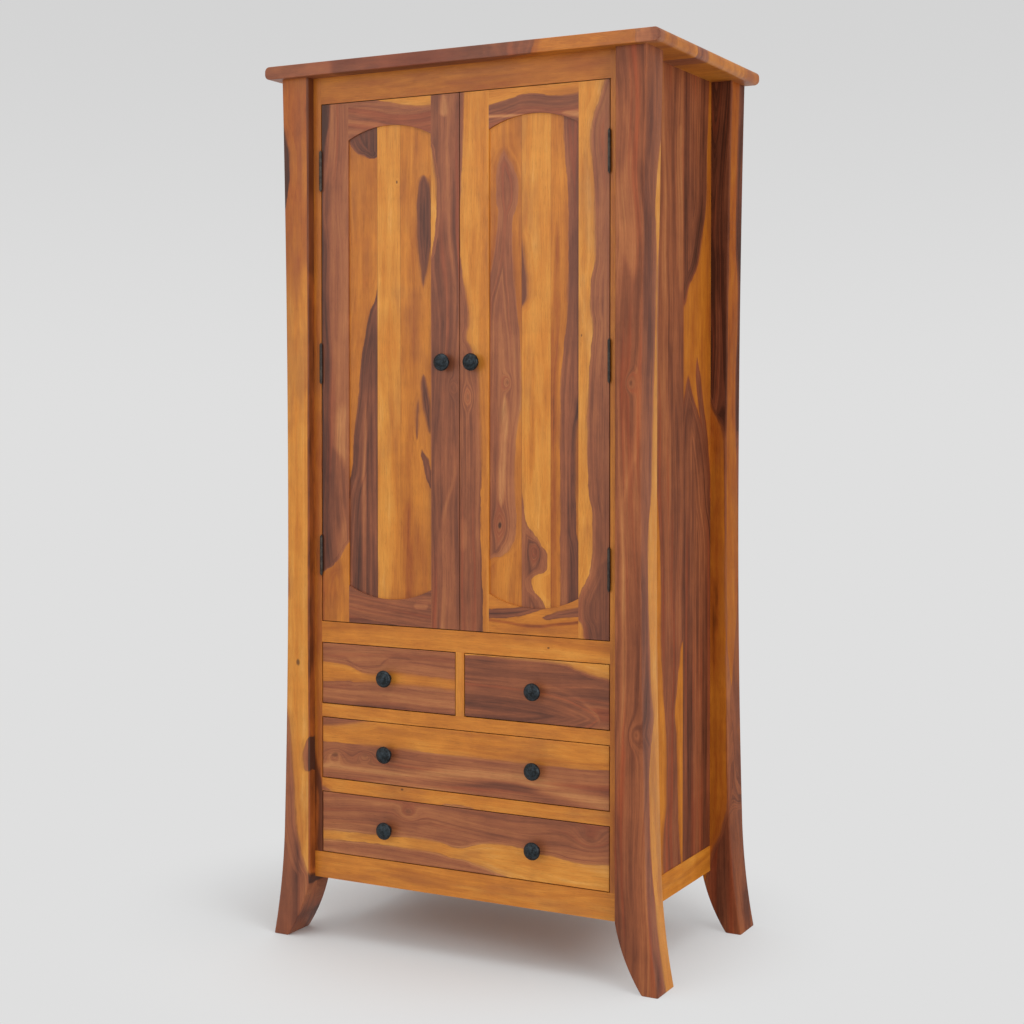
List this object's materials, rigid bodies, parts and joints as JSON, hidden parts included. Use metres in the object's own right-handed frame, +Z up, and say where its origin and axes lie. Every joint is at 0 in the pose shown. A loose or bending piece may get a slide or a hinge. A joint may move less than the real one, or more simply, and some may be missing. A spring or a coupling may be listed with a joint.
{
  "type": "armoire",
  "caption": "Tall wooden armoire with arched-panel doors above a stack of drawers, on outswept legs, for hanging and folded clothes.",
  "frame": {"origin": "on the floor, below the middle of the top slab", "axes": "+Z up, the doors and drawers face -Y, +X to the right of someone facing them"},
  "size_m": [1.014, 0.612, 2.067],
  "materials": {
    "leg_wood": "satin oiled sheesham, dark heartwood with golden sapwood",
    "top_wood": "satin oiled sheesham boards",
    "side_wood": "satin oiled sheesham boards",
    "frame_wood": "satin honey sapwood",
    "door_wood": "satin oiled sheesham, golden and brown figure",
    "drawer_wood": "satin oiled sheesham, wavy figure",
    "inner_wood": "plain sealed wood",
    "rod_wood": "turned wood, satin",
    "black_iron": "hand-hammered black iron",
    "catch_plastic": "moulded brown plastic",
    "catch_steel": "plated steel"
  },
  "bodies": {
    "case": {"back_panel": "inner_wood", "back_rails": "inner_wood", "door_catch": "catch_plastic", "drawer_divider": "frame_wood", "drawer_runner_center": "inner_wood", "drawer_runners_left": "inner_wood", "drawer_runners_right": "inner_wood", "frame_hinge_leaves": "black_iron", "front_bottom_rail": "frame_wood", "front_stile_left": "frame_wood", "front_stile_right": "frame_wood", "front_top_rail": "frame_wood", "hanging_rod": "rod_wood", "hinge_pins": "black_iron", "leg_front_left": "leg_wood", "leg_front_right": "leg_wood", "leg_rear_left": "leg_wood", "leg_rear_right": "leg_wood", "lower_drawer_rail": "frame_wood", "rod_sockets": "rod_wood", "shelf_cleats": "inner_wood", "side_panel_left": "side_wood", "side_panel_right": "side_wood", "side_rail_left": "frame_wood", "side_rail_right": "frame_wood", "top_cleats": "inner_wood", "top_slab": "top_wood", "upper_drawer_rail": "frame_wood", "waist_rail": "frame_wood", "wardrobe_floor": "inner_wood", "wardrobe_shelf": "inner_wood"},
    "door_left": {"door_left_bottom_rail": "door_wood", "door_left_hinge_leaves": "black_iron", "door_left_hinge_stile": "door_wood", "door_left_knob": "black_iron", "door_left_meeting_stile": "door_wood", "door_left_panel": "door_wood", "door_left_strike_plate": "catch_steel", "door_left_top_rail": "door_wood"},
    "door_right": {"door_right_bottom_rail": "door_wood", "door_right_hinge_leaves": "black_iron", "door_right_hinge_stile": "door_wood", "door_right_knob": "black_iron", "door_right_meeting_stile": "door_wood", "door_right_panel": "door_wood", "door_right_strike_plate": "catch_steel", "door_right_top_rail": "door_wood"},
    "drawer_upper_left": {"drawer_upper_left_box": "inner_wood", "drawer_upper_left_front": "drawer_wood", "drawer_upper_left_knob": "black_iron"},
    "drawer_upper_right": {"drawer_upper_right_box": "inner_wood", "drawer_upper_right_front": "drawer_wood", "drawer_upper_right_knob": "black_iron"},
    "drawer_middle": {"drawer_middle_box": "inner_wood", "drawer_middle_front": "drawer_wood", "drawer_middle_knobs": "black_iron"},
    "drawer_bottom": {"drawer_bottom_box": "inner_wood", "drawer_bottom_front": "drawer_wood", "drawer_bottom_knobs": "black_iron"}
  },
  "joints": [
    {"name": "door_left_swing", "type": "hinge", "parent": "case", "child": "door_left", "pos_m": [-0.3738, -0.269, 1.365], "axis": [0, 0, -1], "range_deg": [0, 110]},
    {"name": "door_right_swing", "type": "hinge", "parent": "case", "child": "door_right", "pos_m": [0.3738, -0.269, 1.365], "axis": [0, 0, 1], "range_deg": [0, 110]},
    {"name": "drawer_upper_left_slide", "type": "slide", "parent": "case", "child": "drawer_upper_left", "axis": [0, -1, 0], "range_m": [0, 0.4]},
    {"name": "drawer_upper_right_slide", "type": "slide", "parent": "case", "child": "drawer_upper_right", "axis": [0, -1, 0], "range_m": [0, 0.4]},
    {"name": "drawer_middle_slide", "type": "slide", "parent": "case", "child": "drawer_middle", "axis": [0, -1, 0], "range_m": [0, 0.4]},
    {"name": "drawer_bottom_slide", "type": "slide", "parent": "case", "child": "drawer_bottom", "axis": [0, -1, 0], "range_m": [0, 0.4]}
  ]
}
